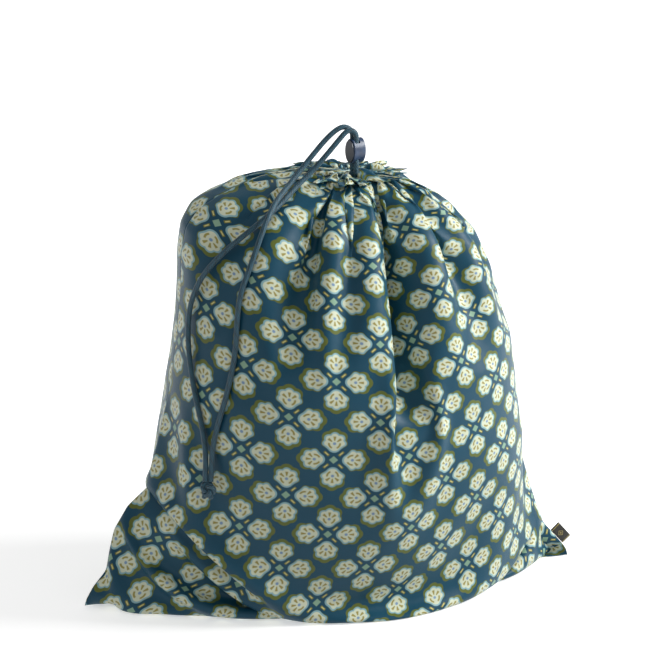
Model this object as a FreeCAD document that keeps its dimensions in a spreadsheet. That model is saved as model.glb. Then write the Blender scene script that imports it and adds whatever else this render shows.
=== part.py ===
import FreeCAD, Part
import os
from math import atan, cos, pi, radians, sin, tan

from FreeCAD import Placement, Rotation, Vector

# A drawstring laundry bag, standing filled on its folded base with the mouth drawn shut.
# Millimetres. The origin is the middle of the floor area it covers. +X runs along the bottom
# seam to the corner with the label, +Y to the back and +Z up.

# The filled bag is lofted through level ellipses. Each has its height, the place of its centre
# along X, and its half width and half depth. The bottom seam's two corners stand out as ears,
# so the lowest ellipses are wide and shallow.
SECTIONS = {
    "base": (0.0, -2.2, 246.4, 86.0),
    "ear": (20.0, -4.5, 236.0, 92.0),
    "flare": (56.0, -8.5, 215.0, 108.0),
    "flank": (101.0, -5.5, 199.0, 121.0),
    "waist": (146.0, 6.0, 178.0, 128.0),
    "belly": (200.0, 6.5, 172.0, 128.0),
    "chest": (270.0, 3.5, 158.0, 122.0),
    "shoulder": (340.0, -5.0, 142.0, 103.0),
    "crown": (379.5, -12.0, 112.0, 68.0),
    "collar": (397.0, -4.0, 72.0, 50.0),
    "neck": (402.5, 9.3, 42.0, 42.0),
}
# Sections from here up lie in the shoulders, where the cloth's thickness is measured downwards.
SHOULDER_SECTIONS = ("crown", "collar", "neck")

DIMENSIONS = {
    "reach": 300.0,              # half width of the boxes that part the bag, larger than the bag
    "wall": 2.4,                 # the cloth and what it traps, as a stiff shell
    "seam_line": 0.3,            # left between front and back where they are sewn together
    "seam_gap": 0.4,             # left between a seam allowance and the cloth
    "seam_allowance": 9.0,
    "seam_thickness": 1.2,
    "bottom_seam_top": 12.0,     # the side seams start above this height
    "mouth_centre_x": 9.3,
    "mouth_centre_y": 2.0,
    "mouth_opening": 31.3,       # radius left open by the panels, for the casing
    "casing_radius": 24.0,       # the ring that the drawcord follows
    "casing_height": 410.5,
    "casing_tube": 7.0,
    "channel_radius": 4.4,
    "way_out_length": 8.0,       # the gap in the casing that both strands come out of
    "way_out_width": 10.8,
    "stitch_radius": 33.5,
    "thread_radius": 0.35,
    "cord_radius": 2.5,
    "lock_x": 9.3,               # midway between the two strands
    "lock_y": -22.0,
    "lock_bottom": 423.0,
    "lock_turn": 20.0,           # degrees about Z, from +X to the way the button is pressed
    "lock_height": 23.4,
    "lock_length": 13.4,         # along the button's travel
    "lock_closed_end": 8.4,      # from the strands to the closed end
    "lock_depth": 14.4,          # across the two strands, at mid height
    "lock_wall": 1.0,
    "lock_rounding": 0.8,
    "strand_spacing": 5.4,
    "slot_length": 11.0,         # across the two strands
    "slot_width": 5.6,
    "button_clearance": 0.2,
    "button_travel": 2.0,
    "button_length": 10.0,
    "button_stand_out": 1.2,
    "spring_radius": 2.4,
    "spring_wire": 0.22,
    "spring_pitch": 0.85,
    "spring_end_gap": 0.05,      # left at each end of the spring
    "knot_radius": 8.3,
    "label_length": 20.0,
    "label_width": 11.0,
    "label_thickness": 1.2,
    "label_rise": 41.2,          # degrees above level that the label points
    "label_x": 233.6,            # middle of the label's sewn edge
    "label_y": -2.5,
    "label_z": 19.6,
}

# The free ends of the drawcord, from the casing up through the lock, over an arch and down the
# front left of the bag to the knot. back_tail is the strand that passes over the other.
BACK_TAIL = [
    (8.38, -19.46, 416.5), (8.38, -19.46, 426.0), (8.33, -19.46, 438.5), (8.38, -19.46, 451.7),
    (3.2, -19.7, 456.9), (-4.6, -20.2, 457.0), (-16.5, -21.0, 448.5), (-31.0, -22.5, 433.5),
    (-46.0, -26.5, 418.5), (-60.0, -35.5, 407.5), (-74.0, -48.5, 399.0),
    (-87.0, -63.0, 386.5), (-97.5, -70.5, 366.5), (-107.0, -74.5, 345.0),
    (-116.5, -75.5, 322.0), (-120.5, -77.5, 298.0), (-122.5, -80.5, 273.0),
    (-127.5, -81.5, 248.0), (-133.5, -80.5, 224.0), (-140.5, -78.5, 200.0),
    (-145.0, -77.5, 178.0), (-146.5, -79.0, 162.0), (-147.8, -80.5, 148.5),
]
FRONT_TAIL = [
    (10.22, -24.54, 416.5), (10.22, -24.54, 426.0), (10.27, -24.54, 438.0),
    (10.22, -24.54, 450.8), (6.2, -24.7, 454.6), (0.6, -25.0, 454.2), (-7.6, -25.4, 445.5),
    (-20.5, -26.0, 431.5), (-35.0, -27.5, 417.5), (-52.0, -34.0, 406.0), (-70.0, -46.8, 394.5),
    (-88.0, -55.2, 384.0), (-106.0, -58.2, 372.3), (-123.5, -53.0, 357.5),
    (-138.5, -46.0, 340.0), (-148.0, -38.5, 321.0), (-152.5, -32.5, 301.0),
    (-155.0, -34.0, 281.0), (-156.0, -40.0, 260.0), (-155.5, -48.0, 239.0),
    (-154.0, -57.5, 218.0), (-151.5, -66.5, 198.0), (-150.5, -73.0, 178.5),
    (-151.3, -77.0, 162.0), (-152.8, -79.0, 148.5),
]
KNOT_CENTRE = (-150.5, -80.5, 141.5)

# The stretch of the drawcord inside the casing, as angles about the mouth from the front.
LOOP_ANGLES = (-21, -56, -92, -128, -162, 162, 128, 92, 56, 21)


def fill_sheet(doc):
    """The driving dimensions, one to a row, each cell named by its alias."""
    sheet = doc.addObject("Spreadsheet::Sheet", "dims")
    values = dict(DIMENSIONS)
    for name, (height, centre, half_width, half_depth) in SECTIONS.items():
        values[name + "_height"] = height
        values[name + "_centre"] = centre
        values[name + "_half_width"] = half_width
        values[name + "_half_depth"] = half_depth
    for row, (name, value) in enumerate(values.items(), start=1):
        sheet.set(f"A{row}", name)
        sheet.set(f"B{row}", str(value))
        sheet.setAlias(f"B{row}", name)
    doc.recompute()
    return sheet


def bind(thing, **formulas):
    """Ties properties to the sheet. A double underscore stands for a dot in a property's path."""
    for path, formula in formulas.items():
        thing.setExpression(path.replace("__", "."), formula)


def add(doc, kind, name, **formulas):
    thing = doc.addObject(kind, name)
    bind(thing, **formulas)
    return thing


def bag_loft(doc, name, inset):
    """The filled bag's solid, drawn in everywhere by the formula inset."""
    ellipses = []
    for section in SECTIONS:
        shape = add(
            doc, "Part::Ellipse", f"{name}_{section}",
            MajorRadius=f"dims.{section}_half_width - ({inset})",
            MinorRadius=f"dims.{section}_half_depth - ({inset})",
            Placement__Base__x=f"dims.{section}_centre",
        )
        height = f"dims.{section}_height"
        if section == "base":
            height = f"dims.base_height + {inset}"
        if section in SHOULDER_SECTIONS:
            height = f"{height} - ({inset})"
        bind(shape, Placement__Base__z=height)
        ellipses.append(shape)
    bind(ellipses[-1], Placement__Base__y="dims.mouth_centre_y")
    loft = doc.addObject("Part::Loft", name)
    loft.Sections = ellipses
    loft.Solid = True
    loft.Ruled = False
    return loft


def half_space(doc, name, low_y):
    """A large box that holds everything on one side of the seams."""
    return add(
        doc, "Part::Box", name,
        Length="2 * dims.reach", Width="dims.reach", Height="2 * dims.reach",
        Placement__Base__x="-dims.reach",
        Placement__Base__y=low_y,
        Placement__Base__z="-dims.reach / 2",
    )


def cut(doc, name, base, tool):
    result = doc.addObject("Part::Cut", name)
    result.Base, result.Tool = base, tool
    return result


def common(doc, name, base, tool):
    result = doc.addObject("Part::Common", name)
    result.Base, result.Tool = base, tool
    return result


def mouth_hole(doc, name, radius):
    """An upright cylinder that opens the top of the bag."""
    hole = add(
        doc, "Part::Cylinder", name,
        Radius=radius,
        Placement__Base__x="dims.mouth_centre_x",
        Placement__Base__y="dims.mouth_centre_y",
        Placement__Base__z="dims.shoulder_height",
        Height="dims.casing_height - dims.shoulder_height + 50",
    )
    return hole


def make_panels(doc, outer, halves):
    """Front and back cloth: the loft's skin, open at the mouth, parted along the seams."""
    inner = bag_loft(doc, "cloth_inside", "dims.wall")
    skin = cut(doc, "cloth_skin", outer, inner)
    mouth = mouth_hole(doc, "mouth_hole", "dims.mouth_opening")
    bag = cut(doc, "bag_skin", skin, mouth)
    return [common(doc, f"{side}_panel", bag, halves[side]) for side in ("front", "back")]


def make_seams(doc):
    """The seam allowances inside the bag, standing in from the two sides and the bottom."""
    outside = bag_loft(doc, "allowance_outside", "dims.wall + dims.seam_gap")
    inside = bag_loft(doc, "allowance_inside", "dims.wall + dims.seam_gap + dims.seam_allowance")
    skin = cut(doc, "allowance_skin", outside, inside)
    mouth = mouth_hole(doc, "seam_mouth_hole", "dims.mouth_opening + 2 * dims.seam_gap")
    open_skin = cut(doc, "open_allowance_skin", skin, mouth)
    parts = []
    for name, low_x, low_z, length, height in (
        ("left_seam", "-dims.reach", "dims.bottom_seam_top",
         "dims.reach + dims.mouth_centre_x", "2 * dims.reach"),
        ("right_seam", "dims.mouth_centre_x", "dims.bottom_seam_top",
         "dims.reach", "2 * dims.reach"),
        ("bottom_seam", "-dims.reach", "-dims.reach",
         "2 * dims.reach", "dims.reach + dims.bottom_seam_top - dims.seam_gap"),
    ):
        slab = add(
            doc, "Part::Box", name + "_slab",
            Length=length, Width="dims.seam_thickness", Height=height,
            Placement__Base__x=low_x,
            Placement__Base__y="-dims.seam_thickness / 2",
            Placement__Base__z=low_z,
        )
        parts.append(common(doc, name, open_skin, slab))
    return parts


def ring(doc, name, radius, tube, height):
    """A ring about the mouth's upright axis."""
    return add(
        doc, "Part::Torus", name,
        Radius1=radius, Radius2=tube,
        Placement__Base__x="dims.mouth_centre_x",
        Placement__Base__y="dims.mouth_centre_y",
        Placement__Base__z=height,
    )


def make_casing(doc, halves):
    """The hem folded over and sewn down into a channel round the mouth, with the cord's way out."""
    outside = ring(doc, "hem_ring", "dims.casing_radius", "dims.casing_tube", "dims.casing_height")
    channel = ring(
        doc, "hem_channel", "dims.casing_radius", "dims.channel_radius", "dims.casing_height"
    )
    hem = cut(doc, "hem_tube", outside, channel)
    way_out = add(
        doc, "Part::Box", "cord_way_out",
        Length="dims.way_out_length", Width="dims.way_out_width",
        Height="2 * dims.casing_tube",
        Placement__Base__x="dims.lock_x - dims.way_out_length / 2",
        Placement__Base__y="dims.lock_y - dims.way_out_width / 2",
        Placement__Base__z="dims.casing_height - 3",
    )
    open_hem = cut(doc, "open_hem", hem, way_out)
    parts = []
    for side in ("front", "back"):
        parts.append(common(doc, f"{side}_casing", open_hem, halves[side]))
    parts.append(ring(
        doc, "casing_stitching", "dims.stitch_radius", "dims.thread_radius",
        "dims.neck_height + 3 * dims.thread_radius",
    ))
    return parts


def rounded_route(points):
    """Straight runs joined by tangent arcs, each as large as its two runs allow, and the radii."""
    corners = [Vector(*p) for p in points]
    edges, radii = [], []
    start = corners[0]
    for before, corner, after in zip(corners, corners[1:], corners[2:]):
        arriving = (corner - before).normalize()
        leaving = (after - corner).normalize()
        turn = arriving.getAngle(leaving)
        setback = 0.45 * min((corner - before).Length, (after - corner).Length)
        radius = setback / tan(turn / 2)
        arc_start = corner - arriving * setback
        arc_end = corner + leaving * setback
        inward = (leaving - arriving).normalize()
        centre = corner + inward * (radius / cos(turn / 2))
        middle = centre - inward * radius
        edges.append(Part.LineSegment(start, arc_start).toShape())
        edges.append(Part.Arc(arc_start, middle, arc_end).toShape())
        radii.append(radius)
        start = arc_end
    edges.append(Part.LineSegment(start, corners[-1]).toShape())
    return Part.Wire(edges), radii


def cord_tube(doc, name, points):
    """A round cord along a route. Its volume is compared with its section times its length."""
    path, radii = rounded_route(points)
    cord_radius = float(doc.dims.cord_radius)
    direction = Vector(*points[1]) - Vector(*points[0])
    section = Part.Wire(Part.Circle(Vector(*points[0]), direction, cord_radius).toShape())
    tube = path.makePipeShell([section], True, False)
    expected = pi * cord_radius**2 * path.Length
    ratio = tube.Volume / expected
    print(f"{name}: length {path.Length:.0f} mm, volume ratio {ratio:.4f}, radii",
          " ".join(f"{r:.0f}" for r in radii))
    if abs(ratio - 1) > 0.01:
        raise RuntimeError(f"{name}: the tube's volume is not its section times its length")
    thing = doc.addObject("Part::Feature", name)
    thing.Shape = tube
    thing.Placement = Placement()
    return thing


def loop_route(doc):
    """The drawcord inside the casing: down from one strand, round the mouth, up to the other."""
    sheet = doc.dims
    height = float(sheet.casing_height)
    route = [BACK_TAIL[0], (BACK_TAIL[0][0], BACK_TAIL[0][1], height)]
    for angle in LOOP_ANGLES:
        around = radians(angle - 90)
        route.append((
            float(sheet.mouth_centre_x) + float(sheet.casing_radius) * cos(around),
            float(sheet.mouth_centre_y) + float(sheet.casing_radius) * sin(around),
            height,
        ))
    route += [(FRONT_TAIL[0][0], FRONT_TAIL[0][1], height), FRONT_TAIL[0]]
    return route


def make_cord(doc):
    loop = cord_tube(doc, "drawcord_loop", loop_route(doc))
    back = cord_tube(doc, "back_tail", BACK_TAIL)
    front = cord_tube(doc, "front_tail", FRONT_TAIL)
    knot = add(doc, "Part::Sphere", "cord_knot", Radius="dims.knot_radius")
    knot.Placement.Base = Vector(*KNOT_CENTRE)
    return [loop, back, front, knot]


def plane_of(body, role):
    return next(f for f in body.Origin.OriginFeatures if f.Role == role)


def oval_sketch(body, name, inset):
    """The lock's end view, a tall oval in the YZ plane, drawn in everywhere by inset."""
    sketch = body.newObject("Sketcher::SketchObject", name)
    sketch.AttachmentSupport = [(plane_of(body, "YZ_Plane"), "")]
    sketch.MapMode = "FlatFace"
    sheet = body.Document.dims
    top = Vector(0, float(sheet.lock_height) / 2 - inset, 0)
    side = Vector(float(sheet.lock_depth) / 2 - inset, 0, 0)
    sketch.addGeometry(Part.Ellipse(top, side, Vector(0, 0, 0)), False)
    return sketch


def slot_sketch(body, name, centre, length):
    """A rectangle in the XY plane, length along X about centre, across both strands in Y."""
    sketch = body.newObject("Sketcher::SketchObject", name)
    sketch.AttachmentSupport = [(plane_of(body, "XY_Plane"), "")]
    sketch.MapMode = "FlatFace"
    half_y = float(body.Document.dims.slot_length) / 2
    low, high = centre - length / 2, centre + length / 2
    corners = [Vector(low, -half_y, 0), Vector(high, -half_y, 0),
               Vector(high, half_y, 0), Vector(low, half_y, 0)]
    for a, b in zip(corners, corners[1:] + corners[:1]):
        sketch.addGeometry(Part.LineSegment(a, b), False)
    return sketch


def pad(body, name, sketch, length, low_x):
    """Pads a YZ sketch along X from low_x, both given as formulas."""
    bind(sketch, AttachmentOffset__Base__z=low_x)
    feature = body.newObject("PartDesign::Pad", name)
    feature.Profile = sketch
    feature.Type = "Length"
    bind(feature, Length=length)
    return feature


def pocket_through(body, name, sketch):
    feature = body.newObject("PartDesign::Pocket", name)
    feature.Profile = sketch
    feature.Type = "Length"
    feature.SideType = "Symmetric"
    bind(feature, Length="2 * dims.lock_height")
    return feature


def lock_placement(sheet):
    """Where the lock's own frame stands: its X is the way the button is pressed."""
    middle = float(sheet.lock_bottom) + float(sheet.lock_height) / 2
    return Placement(
        Vector(float(sheet.lock_x), float(sheet.lock_y), middle),
        Rotation(Vector(0, 0, 1), float(sheet.lock_turn)),
    )


def make_lock_body(doc):
    """A barrel of moulded plastic, open at the button's end, with one slot down for both strands."""
    sheet = doc.dims
    body = doc.addObject("PartDesign::Body", "lock_body")
    outline = oval_sketch(body, "lock_outline", 0.0)
    low = "dims.lock_closed_end - dims.lock_length"
    block = pad(body, "lock_block", outline, "dims.lock_length", low)
    doc.recompute()
    edges = [f"Edge{i}" for i, edge in enumerate(body.Shape.Edges, start=1)]
    rounding = body.newObject("PartDesign::Fillet", "lock_rounded")
    rounding.Base = (block, edges)
    bind(rounding, Radius="dims.lock_rounding")
    doc.recompute()
    solid = body.Shape.Volume
    bore_outline = oval_sketch(body, "bore_outline", float(sheet.lock_wall))
    bind(bore_outline, AttachmentOffset__Base__z="dims.lock_closed_end - dims.lock_length - 1")
    bore = body.newObject("PartDesign::Pocket", "button_bore")
    bore.Profile = bore_outline
    bore.Type = "Length"
    bore.Reversed = True
    bind(bore, Length="dims.lock_length + 1 - dims.lock_wall")
    doc.recompute()
    hollow = body.Shape.Volume
    slot = slot_sketch(body, "strand_slot_outline", 0.0, float(sheet.slot_width))
    pocket_through(body, "strand_slot", slot)
    doc.recompute()
    if not body.Shape.Volume < hollow < solid:
        raise RuntimeError("lock_body: a pocket removed nothing")
    body.Placement = lock_placement(sheet)
    return body


def make_lock_button(doc):
    """The plunger. Its slot is longer than the body's by the travel, so the strands stay clear."""
    sheet = doc.dims
    body = doc.addObject("PartDesign::Body", "lock_button")
    inset = float(sheet.lock_wall) + float(sheet.button_clearance)
    outline = oval_sketch(body, "button_outline", inset)
    out = "dims.lock_closed_end - dims.lock_length - dims.button_stand_out"
    pad(body, "button_block", outline, "dims.button_length", out)
    doc.recompute()
    solid = body.Shape.Volume
    travel = float(sheet.button_travel)
    width = float(sheet.slot_width)
    slot = slot_sketch(body, "button_slot_outline", -travel / 2, width + travel)
    pocket_through(body, "button_slot", slot)
    doc.recompute()
    if body.Shape.Volume >= solid:
        raise RuntimeError("lock_button: the slot removed nothing")
    body.Placement = lock_placement(sheet)
    return body


def make_lock_spring(doc):
    """A short coil between the plunger and the closed end."""
    sheet = doc.dims
    low = (float(sheet.lock_closed_end) - float(sheet.lock_length)
           - float(sheet.button_stand_out) + float(sheet.button_length))
    high = float(sheet.lock_closed_end) - float(sheet.lock_wall)
    wire = float(sheet.spring_wire)
    gap = float(sheet.spring_end_gap)
    height = high - low - 2 * (wire + gap)
    pitch, radius = float(sheet.spring_pitch), float(sheet.spring_radius)
    helix = Part.makeLongHelix(pitch, height, radius)
    rise = atan(pitch / (2 * pi * radius))
    along = Vector(0, cos(rise), sin(rise))
    section = Part.Wire(Part.Circle(Vector(radius, 0, 0), along, wire).toShape())
    coil = Part.Wire(helix.Edges).makePipeShell([section], True, True)
    along_travel = Placement(Vector(low + wire + gap, 0, 0), Rotation(Vector(0, 1, 0), 90))
    thing = doc.addObject("Part::Feature", "lock_spring")
    thing.Shape = coil
    thing.Placement = lock_placement(sheet) * along_travel
    return thing


def make_label(doc):
    """A folded woven tab that stands out of the right side seam, just above the corner."""
    label = add(
        doc, "Part::Box", "side_label",
        Length="dims.label_width",
        Width="dims.label_thickness",
        Height="dims.label_length",
    )
    sheet = doc.dims
    turn = Rotation(Vector(0, 1, 0), -float(sheet.label_rise))
    middle = Vector(float(sheet.label_x), float(sheet.label_y), float(sheet.label_z))
    corner = Vector(0, -float(sheet.label_thickness) / 2, -float(sheet.label_length) / 2)
    label.Placement = Placement(middle + turn.multVec(corner), turn)
    return label


def check_document(doc, parts):
    for thing in doc.Objects:
        if "Invalid" in thing.State or "Error" in thing.State:
            raise RuntimeError(f"{thing.Label} failed to recompute: {thing.State}")
    for part in parts:
        if part.Shape.isNull() or not part.Shape.isValid():
            raise RuntimeError(f"{part.Label} has no valid shape")


def main():
    doc = FreeCAD.newDocument("laundry_bag")
    fill_sheet(doc)
    halves = {
        "front": half_space(doc, "front_half", "-dims.reach - dims.seam_line / 2"),
        "back": half_space(doc, "back_half", "dims.seam_line / 2"),
    }
    outer = bag_loft(doc, "cloth_outside", "0")
    parts = make_panels(doc, outer, halves)
    parts += make_seams(doc)
    parts += make_casing(doc, halves)
    parts += make_cord(doc)
    parts += [make_lock_body(doc), make_lock_button(doc), make_lock_spring(doc), make_label(doc)]
    doc.recompute()
    check_document(doc, parts)
    os.makedirs("parts", exist_ok=True)
    for part in parts:
        part.Shape.exportStep(f"parts/{part.Label}.step")
        print(f"{part.Label}: {part.Shape.Volume:.0f} mm3, {len(part.Shape.Solids)} solid(s)")


main()
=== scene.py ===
from math import cos, hypot, pi, radians, sin, sqrt

import bpy
import numpy as np
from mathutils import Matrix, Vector


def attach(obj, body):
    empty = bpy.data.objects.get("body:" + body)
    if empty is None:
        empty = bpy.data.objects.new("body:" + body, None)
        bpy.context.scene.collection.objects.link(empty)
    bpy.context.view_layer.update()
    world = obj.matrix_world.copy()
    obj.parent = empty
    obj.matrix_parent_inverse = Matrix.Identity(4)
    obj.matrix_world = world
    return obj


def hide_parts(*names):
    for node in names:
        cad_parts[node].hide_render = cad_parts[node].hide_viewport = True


# A drawstring laundry bag in printed polyester, standing filled on its folded base. The two
# panels, with the casing round the mouth, are one cloth simulation on a flat-cut grid. Cords,
# knot, label and stitches are built on its result. Lengths are in metres, except in the cloth
# section, which works in millimetres.

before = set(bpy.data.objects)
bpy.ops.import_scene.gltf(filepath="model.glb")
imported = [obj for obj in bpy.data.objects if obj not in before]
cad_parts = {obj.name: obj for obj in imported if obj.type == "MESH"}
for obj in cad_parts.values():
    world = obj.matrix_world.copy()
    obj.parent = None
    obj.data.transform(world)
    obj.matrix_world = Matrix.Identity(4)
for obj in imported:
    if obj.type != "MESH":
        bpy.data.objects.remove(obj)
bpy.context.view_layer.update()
MM = 0.001

# ---------------------------------------------------------------- cloth, in millimetres

PANEL_WIDTH, PANEL_HEIGHT, HEM = 500.0, 582.0, 28.0     # each panel as cut, and its folded hem
COLUMNS, ROWS = 240, 140                                # columns go right round both panels
HALF = COLUMNS // 2                                     # the column of the left side seam
STITCH_V = PANEL_HEIGHT - HEM                           # heights up the panel of the hem's seam
CORD_V = PANEL_HEIGHT - HEM / 2                         # and of the drawcord inside it
COLUMN_STEP = 2 * PANEL_WIDTH / COLUMNS
ROW_STEP = (PANEL_HEIGHT + HEM) / ROWS
HEIGHTS_UP = np.linspace(0, PANEL_HEIGHT + HEM, ROWS + 1)
PLEATS = 13
RING_X, RING_Y, RING_RADIUS = 12.0, 2.0, 24.0
CLOTH_SHIFT_X = -2.7                                    # from the cloth's middle to the origin


def row_at(height):
    return int(np.argmin(np.abs(HEIGHTS_UP - height)))


STITCH_ROW, TOP_ROW = row_at(STITCH_V), row_at(PANEL_HEIGHT)
CORD_ROWS = (row_at(CORD_V), row_at(2 * PANEL_HEIGHT - CORD_V))

# How far the laundry fills the bag to each side, as (height, half size). Left of the middle the
# front reaches less far out than the back near the mouth.
FILL_LEFT_LOW = [(0, 236), (20, 228), (40, 216), (60, 212), (80, 206), (100, 193), (122, 168),
                 (138, 147), (150, 145), (164, 150), (180, 165), (216, 162), (251, 155), (286, 150)]
FILL_LEFT = FILL_LEFT_LOW + [(345, 149), (369, 146), (386, 137), (397, 120), (406, 94), (411, 62),
                             (414, 20)]
FILL_LEFT_FRONT = FILL_LEFT_LOW + [(345, 148), (369, 142), (386, 126), (397, 104), (406, 74),
                                   (411, 38), (414, 20)]
FILL_RIGHT = [(0, 176), (20, 184), (60, 192), (77, 194), (103, 190), (128, 187), (153, 186),
              (178, 181), (214, 176), (251, 171), (287, 165), (311, 159), (347, 142), (375, 116),
              (388, 96), (401, 66), (409, 40), (414, 20)]
FILL_FRONT = [(0, 62), (20, 70), (40, 81), (60, 92), (90, 108), (125, 121), (160, 126), (220, 125),
              (280, 117), (330, 104), (362, 90), (386, 68), (401, 44), (414, 12)]
FILL_BACK = [(0, 66), (20, 78), (60, 102), (90, 114), (126, 122), (160, 126), (220, 124),
             (280, 117), (330, 109), (364, 98), (390, 82), (403, 60), (411, 30), (414, 12)]
FILL_POWER, LOW_LEFT_POWER = 2.25, 1.35  # how square the laundry is in plan
FILL_FLOOR = 3.0
FILL_ACROSS, FILL_DEEP, FILL_TOP = 215, 140, 409    # the laundry is looked for inside these
LOW_RIGHT_SHALLOW = .28                  # share of the depth missing low at the front right
# Folds that run down from the mouth: direction in degrees, width in degrees, depth, and the
# heights between which they run.
FOLDS = [(-74, 8, .50, 190, 412), (-128, 7, .32, 250, 412), (-104, 5, .12, 250, 412),
         (-42, 6, .22, 230, 412), (-158, 7, .18, 280, 412), (-15, 8, .16, 250, 412),
         (60, 8, .18, 220, 412), (105, 8, .14, 220, 412), (150, 8, .15, 250, 412)]
# The side seams near the floor, as (x, z) up from each corner of the base.
LEFT_SEAM = [(-247, 3), (-238, 20), (-225, 36), (-222, 56), (-217, 78), (-204, 101), (-180, 124),
             (-152, 148)]
RIGHT_SEAM = [(247, 2), (243, 10), (229, 27), (216, 42), (207, 64), (199, 98)]
# The bag's outline before it settles, as (distance from the mouth's axis, height).
FRONT_OUTLINE = [(0, 2), (40, 2), (62, 3), (80, 22), (100, 70), (126, 150), (129, 230), (120, 300),
                 (102, 352), (66, 398), (24, 410.5)]
LEFT_OUTLINE = [(246, 4), (224, 38), (216, 79), (190, 123), (170, 150), (173, 180), (166, 230),
                (156, 300), (154, 365), (136, 399), (76, 407), (24, 410.5)]
RIGHT_OUTLINE = [(246, 4), (229, 27), (207, 64), (198, 100), (192, 150), (182, 220), (170, 287),
                 (149, 347), (116, 380), (76, 402), (24, 410.5)]

STEPS, TIME_STEP, GRAVITY, DRAG, FRICTION = 400, 1 / 240, 1000.0, .985, .35
SHEAR_HOLD, BEND_HOLD, SEAM_BEND = .4, .07, .2
TOP_SPEED, TOP_PUSH = 900, 6             # the fastest a point moves, and the most it is pushed
LOWEST = 0.4                             # the cloth's middle, this far over the floor
HEM_EDGE_PULL, HEM_SEAM_PULL = .25, .3   # how the hem's raw edge and its seam draw together
CORD_ROOM = 4.0                          # between the drawcord and the hem round it
SKEW = .35                               # how much shallower the base starts on the right
# The settled hem is spread sideways by this much, from just under its seam, which real cloth
# isn't.
HEM_SPREAD, HEM_SPREAD_ROWS = .04, 6


def smooth(low, high, x):
    t = np.clip((x - low) / (high - low), 0, 1)
    return t * t * (3 - 2 * t)


def table(points, z):
    heights, sizes = zip(*points)
    return np.interp(z, heights, sizes)


def fold_depth(angle, z):
    depth = 0.0
    for direction, width, deep, low, high in FOLDS:
        away = np.angle(np.exp(1j * (angle - radians(direction))))
        along = smooth(low, low + 60, z) * (1 - smooth(high - 30, high, z))
        depth = depth + deep * np.exp(-(away / radians(width)) ** 2) * along
    return depth


def fill_value(x, y, z):
    """Under 1 inside the laundry, 1 on its surface."""
    front = smooth(-30, 30, -y)
    left = table(FILL_LEFT, z) * (1 - front) + table(FILL_LEFT_FRONT, z) * front
    side = np.where(x < 0, left, table(FILL_RIGHT, z))
    shallow = 1 - LOW_RIGHT_SHALLOW * smooth(0, 110, x) * (1 - smooth(50, 120, z))
    depth = np.where(y < 0, table(FILL_FRONT, z) * shallow, table(FILL_BACK, z))
    low_left = (x < 0) * (1 - smooth(50, 190, z))
    power = FILL_POWER + (LOW_LEFT_POWER - FILL_POWER) * low_left
    value = (np.abs(x) / side) ** power + (np.abs(y) / depth) ** power
    up = smooth(240, 400, z)
    angle = np.arctan2(y - RING_Y * up, x - RING_X * up)
    return value ** (1 / power) + fold_depth(angle, z)


def push_out(cloth, before):
    """Keeps the cloth out of the laundry and the floor, with friction."""
    x, y, z = cloth[..., 0], cloth[..., 1], cloth[..., 2]
    near = (np.abs(x) < FILL_ACROSS) & (np.abs(y) < FILL_DEEP) & (z > FILL_FLOOR) & (z < FILL_TOP)
    near[TOP_ROW + 1:] = False
    points = cloth[near]
    value = fill_value(*points.T)
    inside = value < 1
    index = np.flatnonzero(near.ravel())[inside]
    points, value = points[inside], value[inside]
    slope = np.stack([
        fill_value(*(points + step).T) - fill_value(*(points - step).T)
        for step in np.eye(3, dtype=np.float32)
    ], 1) / 2
    steep = np.maximum((slope * slope).sum(1), 1e-6)
    step = np.minimum((1 - value) / steep, TOP_PUSH / np.sqrt(steep))
    out = points + slope * step[:, None]
    normal = slope / np.sqrt(steep)[:, None]
    moved = out - before.reshape(-1, 3)[index]
    slid = moved - (moved * normal).sum(1)[:, None] * normal
    cloth.reshape(-1, 3)[index] = out - FRICTION * slid
    low = cloth[..., 2] < LOWEST
    cloth[low, :2] -= FRICTION * (cloth[low, :2] - before[low, :2])
    cloth[low, 2] = LOWEST


def hold(a, b, rest, firmness):
    """Moves both ends of each thread towards its rest length."""
    gap = b - a
    length = np.sqrt((gap * gap).sum(-1, keepdims=True)) + 1e-9
    shift = gap * ((length - rest) / length * (0.5 * firmness))
    a += shift
    b -= shift


def pull_threads(cloth):
    """Holds the threads up, across and on both diagonals, then resists bending."""
    for first in (0, 1):
        low, high = cloth[first:-1:2], cloth[first + 1::2]
        hold(low[:len(high)], high[:len(low)], ROW_STEP, 1.0)
    hold(cloth[:, 0::2], cloth[:, 1::2], COLUMN_STEP, 1.0)
    turned = np.roll(cloth, -1, 1)
    hold(turned[:, 0::2], turned[:, 1::2], COLUMN_STEP, 1.0)
    cloth[:] = np.roll(turned, 1, 1)
    diagonal = hypot(COLUMN_STEP, ROW_STEP)
    for first in (0, 1):
        low, high = cloth[first:-1:2], cloth[first + 1::2]
        low, high = low[:len(high)], high[:len(low)]
        for side in (-1, 1):
            turned = np.roll(high, side, 1)
            hold(low, turned, diagonal, SHEAR_HOLD)
            high[:] = np.roll(turned, -side, 1)
    bend = (np.roll(cloth, 1, 1) + np.roll(cloth, -1, 1)) * 0.5 - cloth
    bend[:, (0, HALF)] *= SEAM_BEND
    cloth += bend * (BEND_HOLD * .66)
    cloth -= (np.roll(bend, 1, 1) + np.roll(bend, -1, 1)) * (BEND_HOLD * .33)
    bend = np.zeros_like(cloth)
    bend[1:-1] = (cloth[2:] + cloth[:-2]) * 0.5 - cloth[1:-1]
    cloth += bend * (BEND_HOLD * .66)
    cloth[1:] -= bend[:-1] * (BEND_HOLD * .33)
    cloth[:-1] -= bend[1:] * (BEND_HOLD * .33)


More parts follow.
